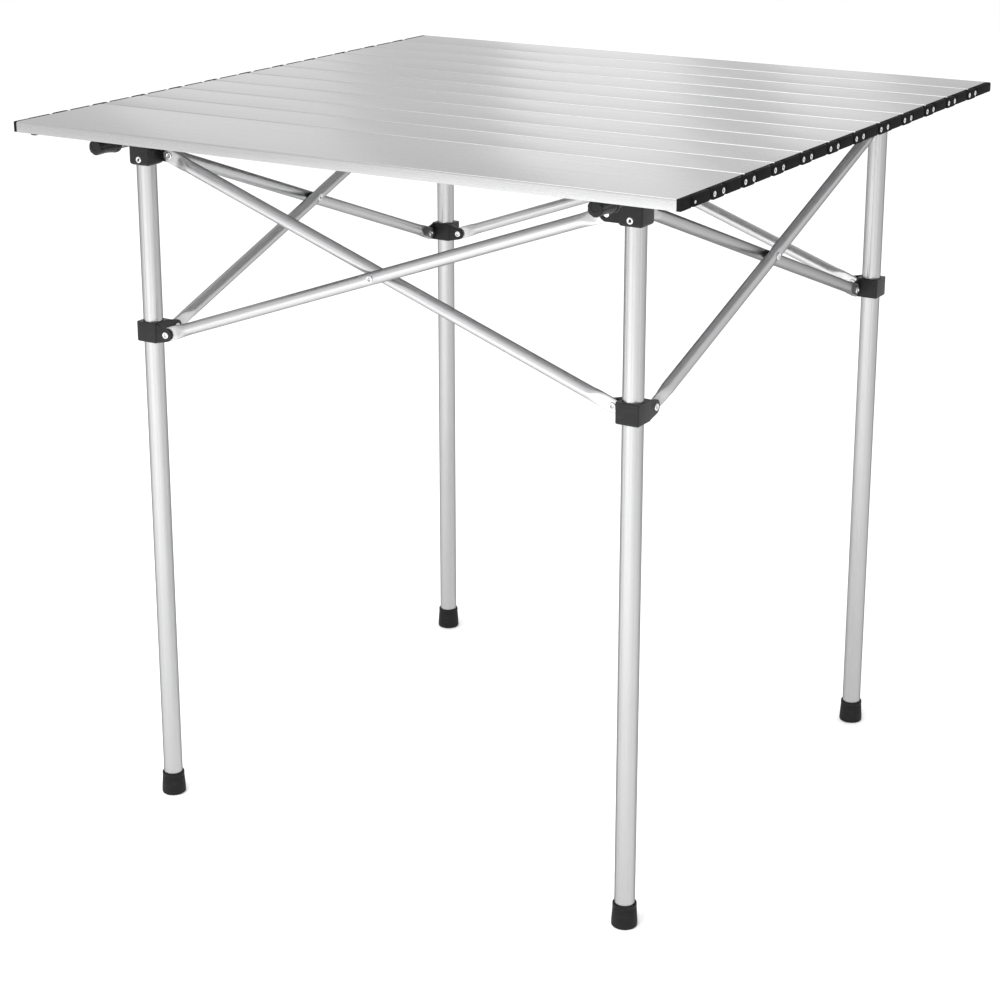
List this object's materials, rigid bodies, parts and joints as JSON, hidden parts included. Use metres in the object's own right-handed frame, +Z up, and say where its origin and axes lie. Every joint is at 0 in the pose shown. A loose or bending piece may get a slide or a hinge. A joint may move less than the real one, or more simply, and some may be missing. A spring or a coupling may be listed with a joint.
{
  "type": "folding camping table",
  "caption": "Square folding camping table with a roll-up aluminium slatted top on a scissor-braced four-leg frame with black plastic fittings.",
  "frame": {"origin": "on the floor under the middle of the table top", "axes": "+X along the slats to the right, +Y from the front to the back, +Z up"},
  "size_m": [0.7, 0.7, 0.7],
  "materials": {
    "slat_aluminium": "satin anodised, brushed along the slats",
    "tube_aluminium": "satin anodised, drawn tube",
    "black_plastic": "semi-matt moulded",
    "black_rubber": "matt"
  },
  "bodies": {
    "leg_front_right_body": {"leg_front_right": "tube_aluminium", "foot_front_right": "black_rubber", "bracket_front_right": "black_plastic"},
    "slider_front_right_body": {"slider_front_right": "black_plastic"},
    "leg_back_right_body": {"leg_back_right": "tube_aluminium", "foot_back_right": "black_rubber", "bracket_back_right": "black_plastic"},
    "slider_back_right_body": {"slider_back_right": "black_plastic"},
    "leg_back_left_body": {"leg_back_left": "tube_aluminium", "foot_back_left": "black_rubber", "bracket_back_left": "black_plastic"},
    "slider_back_left_body": {"slider_back_left": "black_plastic"},
    "leg_front_left_body": {"leg_front_left": "tube_aluminium", "foot_front_left": "black_rubber", "bracket_front_left": "black_plastic"},
    "slider_front_left_body": {"slider_front_left": "black_plastic"},
    "brace_front_outer_body": {"brace_front_outer": "tube_aluminium"},
    "brace_front_inner_body": {"brace_front_inner": "tube_aluminium"},
    "brace_right_outer_body": {"brace_right_outer": "tube_aluminium"},
    "brace_right_inner_body": {"brace_right_inner": "tube_aluminium"},
    "brace_back_outer_body": {"brace_back_outer": "tube_aluminium"},
    "brace_back_inner_body": {"brace_back_inner": "tube_aluminium"},
    "brace_left_outer_body": {"brace_left_outer": "tube_aluminium"},
    "brace_left_inner_body": {"brace_left_inner": "tube_aluminium"},
    "rods_body": {"support_rod_left": "tube_aluminium", "support_rod_right": "tube_aluminium", "grip_left": "black_plastic", "grip_right": "black_plastic"},
    "slat_01_body": {"slat_01": "slat_aluminium"},
    "slat_02_body": {"slat_02": "slat_aluminium"},
    "slat_03_body": {"slat_03": "slat_aluminium"},
    "slat_04_body": {"slat_04": "slat_aluminium"},
    "slat_05_body": {"slat_05": "slat_aluminium"},
    "slat_06_body": {"slat_06": "slat_aluminium"},
    "slat_07_body": {"slat_07": "slat_aluminium"},
    "slat_08_body": {"slat_08": "slat_aluminium"},
    "slat_09_body": {"slat_09": "slat_aluminium"},
    "slat_10_body": {"slat_10": "slat_aluminium"},
    "slat_11_body": {"slat_11": "slat_aluminium"},
    "links_01_body": {"link_01_left": "black_plastic", "link_01_right": "black_plastic"},
    "links_02_body": {"link_02_left": "black_plastic", "link_02_right": "black_plastic"},
    "links_03_body": {"link_03_left": "black_plastic", "link_03_right": "black_plastic"},
    "links_04_body": {"link_04_left": "black_plastic", "link_04_right": "black_plastic"},
    "links_05_body": {"link_05_left": "black_plastic", "link_05_right": "black_plastic"},
    "links_06_body": {"link_06_left": "black_plastic", "link_06_right": "black_plastic"},
    "links_07_body": {"link_07_left": "black_plastic", "link_07_right": "black_plastic"},
    "links_08_body": {"link_08_left": "black_plastic", "link_08_right": "black_plastic"},
    "links_09_body": {"link_09_left": "black_plastic", "link_09_right": "black_plastic"},
    "links_10_body": {"link_10_left": "black_plastic", "link_10_right": "black_plastic"}
  },
  "joints": [
    {"name": "fold", "type": "hinge", "parent": "leg_front_right_body", "child": "brace_front_outer_body", "pos_m": [0.24, -0.27, 0.663], "axis": [0, -1, 0], "range_deg": [0, 62]},
    {"name": "front_centre_rivet", "type": "hinge", "parent": "brace_front_outer_body", "child": "brace_front_inner_body", "pos_m": [0, -0.263, 0.577], "axis": [0, -1, 0], "range_deg": [-124, 0]},
    {"name": "front_left_top_pivot", "type": "hinge", "parent": "brace_front_inner_body", "child": "leg_front_left_body", "pos_m": [-0.24, -0.256, 0.663], "axis": [0, -1, 0], "range_deg": [0, 62]},
    {"name": "front_left_slider_pivot", "type": "hinge", "parent": "brace_front_outer_body", "child": "slider_front_left_body", "pos_m": [-0.24, -0.27, 0.491], "axis": [0, -1, 0], "range_deg": [-62, 0]},
    {"name": "front_right_slider_pivot", "type": "hinge", "parent": "brace_front_inner_body", "child": "slider_front_right_body", "pos_m": [0.24, -0.256, 0.491], "axis": [0, -1, 0], "range_deg": [0, 62]},
    {"name": "right_front_top_pivot", "type": "hinge", "parent": "leg_front_right_body", "child": "brace_right_inner_body", "pos_m": [0.256, -0.24, 0.663], "axis": [1, 0, 0], "range_deg": [-62, 0]},
    {"name": "back_right_slider_pivot", "type": "hinge", "parent": "brace_right_inner_body", "child": "slider_back_right_body", "pos_m": [0.256, 0.24, 0.491], "axis": [1, 0, 0], "range_deg": [0, 62]},
    {"name": "right_centre_rivet", "type": "hinge", "parent": "brace_right_inner_body", "child": "brace_right_outer_body", "pos_m": [0.263, 0, 0.577], "axis": [1, 0, 0], "range_deg": [0, 124]},
    {"name": "back_right_top_pivot", "type": "hinge", "parent": "brace_right_outer_body", "child": "leg_back_right_body", "pos_m": [0.27, 0.24, 0.663], "axis": [1, 0, 0], "range_deg": [-62, 0]},
    {"name": "left_front_top_pivot", "type": "hinge", "parent": "leg_front_left_body", "child": "brace_left_outer_body", "pos_m": [-0.27, -0.24, 0.663], "axis": [-1, 0, 0], "range_deg": [0, 62]},
    {"name": "back_left_slider_pivot", "type": "hinge", "parent": "brace_left_outer_body", "child": "slider_back_left_body", "pos_m": [-0.27, 0.24, 0.491], "axis": [-1, 0, 0], "range_deg": [-62, 0]},
    {"name": "left_centre_rivet", "type": "hinge", "parent": "brace_left_outer_body", "child": "brace_left_inner_body", "pos_m": [-0.263, 0, 0.577], "axis": [-1, 0, 0], "range_deg": [-124, 0]},
    {"name": "back_left_top_pivot", "type": "hinge", "parent": "brace_left_inner_body", "child": "leg_back_left_body", "pos_m": [-0.256, 0.24, 0.663], "axis": [-1, 0, 0], "range_deg": [0, 62]},
    {"name": "back_right_back_top_pivot", "type": "hinge", "parent": "leg_back_right_body", "child": "brace_back_inner_body", "pos_m": [0.24, 0.256, 0.663], "axis": [0, 1, 0], "range_deg": [-62, 0]},
    {"name": "back_centre_rivet", "type": "hinge", "parent": "brace_back_inner_body", "child": "brace_back_outer_body", "pos_m": [0, 0.263, 0.577], "axis": [0, 1, 0], "range_deg": [0, 124]},
    {"name": "rods_unclip", "type": "slide", "parent": "leg_front_right_body", "child": "rods_body", "axis": [0, 0, 1], "range_m": [0, 0.217]},
    {"name": "top_lift", "type": "slide", "parent": "rods_body", "child": "slat_11_body", "axis": [0, 0, 1], "range_m": [0, 0.25]},
    {"name": "roll", "type": "hinge", "parent": "slat_11_body", "child": "links_10_body", "pos_m": [0, 0.3029, 0.695], "axis": [-1, 0, 0], "range_deg": [0, 15]},
    {"name": "roll_slat_10", "type": "hinge", "parent": "links_10_body", "child": "slat_10_body", "pos_m": [0, 0.2869, 0.695], "axis": [-1, 0, 0], "range_deg": [0, 15]},
    {"name": "roll_link_09", "type": "hinge", "parent": "slat_10_body", "child": "links_09_body", "pos_m": [0, 0.2448, 0.695], "axis": [-1, 0, 0], "range_deg": [0, 15]},
    {"name": "roll_slat_09", "type": "hinge", "parent": "links_09_body", "child": "slat_09_body", "pos_m": [0, 0.2288, 0.695], "axis": [-1, 0, 0], "range_deg": [0, 15]},
    {"name": "roll_link_08", "type": "hinge", "parent": "slat_09_body", "child": "links_08_body", "pos_m": [0, 0.1867, 0.695], "axis": [-1, 0, 0], "range_deg": [0, 15]},
    {"name": "roll_slat_08", "type": "hinge", "parent": "links_08_body", "child": "slat_08_body", "pos_m": [0, 0.1707, 0.695], "axis": [-1, 0, 0], "range_deg": [0, 15]},
    {"name": "roll_link_07", "type": "hinge", "parent": "slat_08_body", "child": "links_07_body", "pos_m": [0, 0.1286, 0.695], "axis": [-1, 0, 0], "range_deg": [0, 15]},
    {"name": "roll_slat_07", "type": "hinge", "parent": "links_07_body", "child": "slat_07_body", "pos_m": [0, 0.1126, 0.695], "axis": [-1, 0, 0], "range_deg": [0, 15]},
    {"name": "roll_link_06", "type": "hinge", "parent": "slat_07_body", "child": "links_06_body", "pos_m": [0, 0.0705, 0.695], "axis": [-1, 0, 0], "range_deg": [0, 15]},
    {"name": "roll_slat_06", "type": "hinge", "parent": "links_06_body", "child": "slat_06_body", "pos_m": [0, 0.0545, 0.695], "axis": [-1, 0, 0], "range_deg": [0, 15]},
    {"name": "roll_link_05", "type": "hinge", "parent": "slat_06_body", "child": "links_05_body", "pos_m": [0, 0.0124, 0.695], "axis": [-1, 0, 0], "range_deg": [0, 15]},
    {"name": "roll_slat_05", "type": "hinge", "parent": "links_05_body", "child": "slat_05_body", "pos_m": [0, -0.0036, 0.695], "axis": [-1, 0, 0], "range_deg": [0, 15]},
    {"name": "roll_link_04", "type": "hinge", "parent": "slat_05_body", "child": "links_04_body", "pos_m": [0, -0.0457, 0.695], "axis": [-1, 0, 0], "range_deg": [0, 15]},
    {"name": "roll_slat_04", "type": "hinge", "parent": "links_04_body", "child": "slat_04_body", "pos_m": [0, -0.0617, 0.695], "axis": [-1, 0, 0], "range_deg": [0, 15]},
    {"name": "roll_link_03", "type": "hinge", "parent": "slat_04_body", "child": "links_03_body", "pos_m": [0, -0.1038, 0.695], "axis": [-1, 0, 0], "range_deg": [0, 15]},
    {"name": "roll_slat_03", "type": "hinge", "parent": "links_03_body", "child": "slat_03_body", "pos_m": [0, -0.1198, 0.695], "axis": [-1, 0, 0], "range_deg": [0, 15]},
    {"name": "roll_link_02", "type": "hinge", "parent": "slat_03_body", "child": "links_02_body", "pos_m": [0, -0.1619, 0.695], "axis": [-1, 0, 0], "range_deg": [0, 15]},
    {"name": "roll_slat_02", "type": "hinge", "parent": "links_02_body", "child": "slat_02_body", "pos_m": [0, -0.1779, 0.695], "axis": [-1, 0, 0], "range_deg": [0, 15]},
    {"name": "roll_link_01", "type": "hinge", "parent": "slat_02_body", "child": "links_01_body", "pos_m": [0, -0.22, 0.695], "axis": [-1, 0, 0], "range_deg": [0, 15]},
    {"name": "roll_slat_01", "type": "hinge", "parent": "links_01_body", "child": "slat_01_body", "pos_m": [0, -0.236, 0.695], "axis": [-1, 0, 0], "range_deg": [0, 15]}
  ],
  "couplings": [
    {"joint": "front_centre_rivet", "follows": "fold", "ratio": -2},
    {"joint": "front_left_top_pivot", "follows": "fold", "ratio": 1},
    {"joint": "front_left_slider_pivot", "follows": "fold", "ratio": -1},
    {"joint": "front_right_slider_pivot", "follows": "fold", "ratio": 1},
    {"joint": "right_front_top_pivot", "follows": "fold", "ratio": -1},
    {"joint": "back_right_slider_pivot", "follows": "fold", "ratio": 1},
    {"joint": "right_centre_rivet", "follows": "fold", "ratio": 2},
    {"joint": "back_right_top_pivot", "follows": "fold", "ratio": -1},
    {"joint": "left_front_top_pivot", "follows": "fold", "ratio": 1},
    {"joint": "back_left_slider_pivot", "follows": "fold", "ratio": -1},
    {"joint": "left_centre_rivet", "follows": "fold", "ratio": -2},
    {"joint": "back_left_top_pivot", "follows": "fold", "ratio": 1},
    {"joint": "back_right_back_top_pivot", "follows": "fold", "ratio": -1},
    {"joint": "back_centre_rivet", "follows": "fold", "ratio": 2},
    {"joint": "rods_unclip", "follows": "fold", "m_per_rad": 0.2},
    {"joint": "roll_slat_10", "follows": "roll", "ratio": 1},
    {"joint": "roll_link_09", "follows": "roll", "ratio": 1},
    {"joint": "roll_slat_09", "follows": "roll", "ratio": 1},
    {"joint": "roll_link_08", "follows": "roll", "ratio": 1},
    {"joint": "roll_slat_08", "follows": "roll", "ratio": 1},
    {"joint": "roll_link_07", "follows": "roll", "ratio": 1},
    {"joint": "roll_slat_07", "follows": "roll", "ratio": 1},
    {"joint": "roll_link_06", "follows": "roll", "ratio": 1},
    {"joint": "roll_slat_06", "follows": "roll", "ratio": 1},
    {"joint": "roll_link_05", "follows": "roll", "ratio": 1},
    {"joint": "roll_slat_05", "follows": "roll", "ratio": 1},
    {"joint": "roll_link_04", "follows": "roll", "ratio": 1},
    {"joint": "roll_slat_04", "follows": "roll", "ratio": 1},
    {"joint": "roll_link_03", "follows": "roll", "ratio": 1},
    {"joint": "roll_slat_03", "follows": "roll", "ratio": 1},
    {"joint": "roll_link_02", "follows": "roll", "ratio": 1},
    {"joint": "roll_slat_02", "follows": "roll", "ratio": 1},
    {"joint": "roll_link_01", "follows": "roll", "ratio": 1},
    {"joint": "roll_slat_01", "follows": "roll", "ratio": 1}
  ]
}
